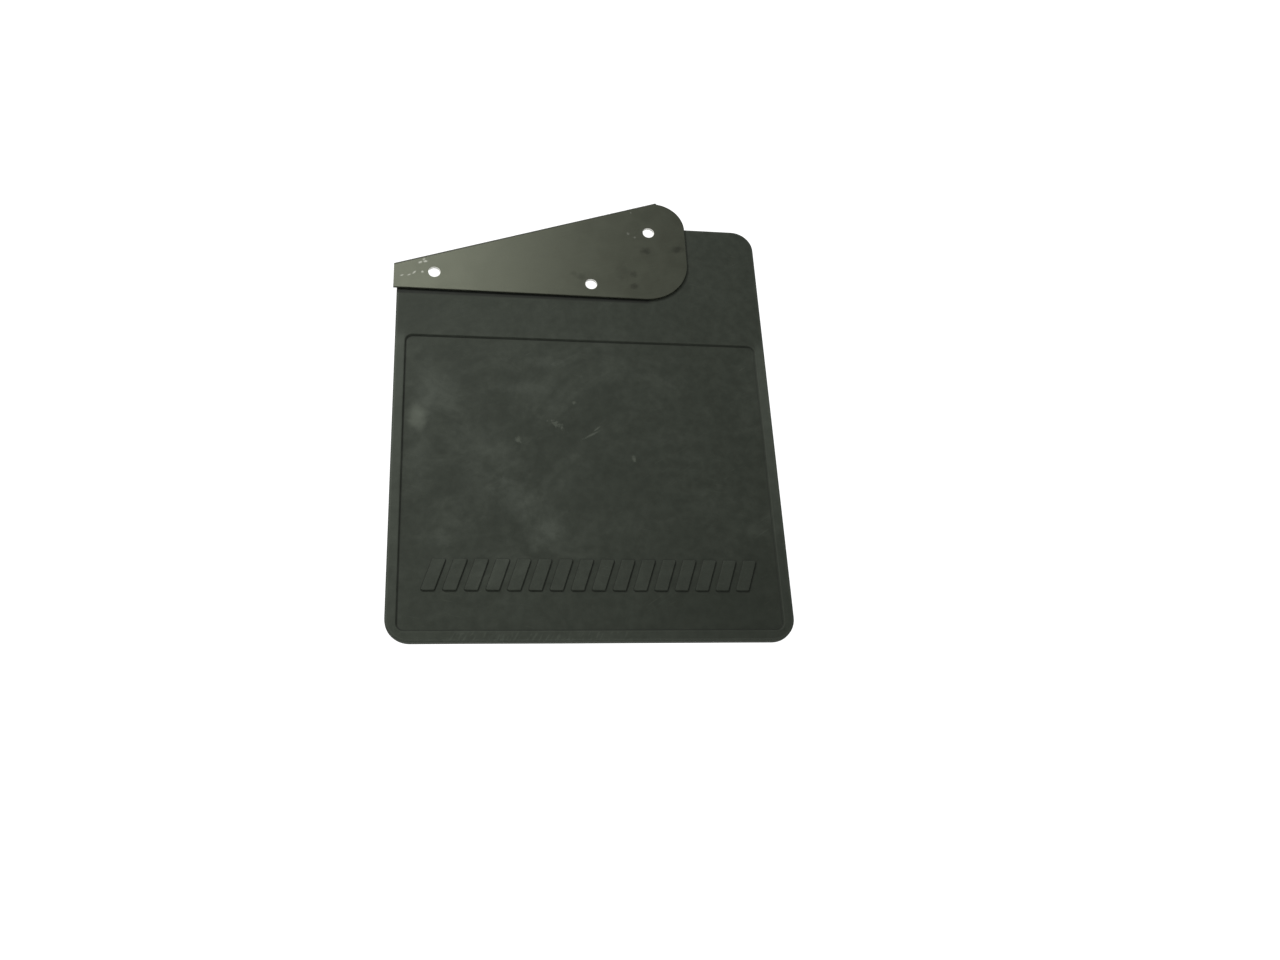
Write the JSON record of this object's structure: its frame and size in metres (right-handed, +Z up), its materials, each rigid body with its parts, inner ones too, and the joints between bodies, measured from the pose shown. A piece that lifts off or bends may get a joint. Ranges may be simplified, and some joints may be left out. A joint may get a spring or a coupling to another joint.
{
  "type": "mud flap",
  "caption": "Rubber mud flap with a sunk, rimmed panel and slanted raised bars, clamped under a wedge-shaped folded steel bracket; the flap swings at the bracket's lower edge.",
  "frame": {"origin": "centre of the lower bolt hole, at the back face of the steel bracket where it meets the rubber", "axes": "+Z up as the flap hangs in use, +X to the right seen from the front, the panel with the raised bars faces -Y and the mounting face is the back, towards +Y"},
  "size_m": [0.333, 0.008, 0.4349],
  "materials": {
    "bracket_paint": "satin black paint, scuffed",
    "flap_rubber": "matt moulded black rubber"
  },
  "bodies": {
    "bracket": {"steel_bracket": "bracket_paint", "flap_header": "flap_rubber"},
    "swinging_flap": {"flap_panel": "flap_rubber"}
  },
  "joints": [
    {"name": "flap_bend", "type": "hinge", "parent": "bracket", "child": "swinging_flap", "pos_m": [0, 0.003, -0.033], "axis": [-1, 0, 0], "range_deg": [-45, 70], "stiffness_Nm_per_rad": 0.6}
  ]
}
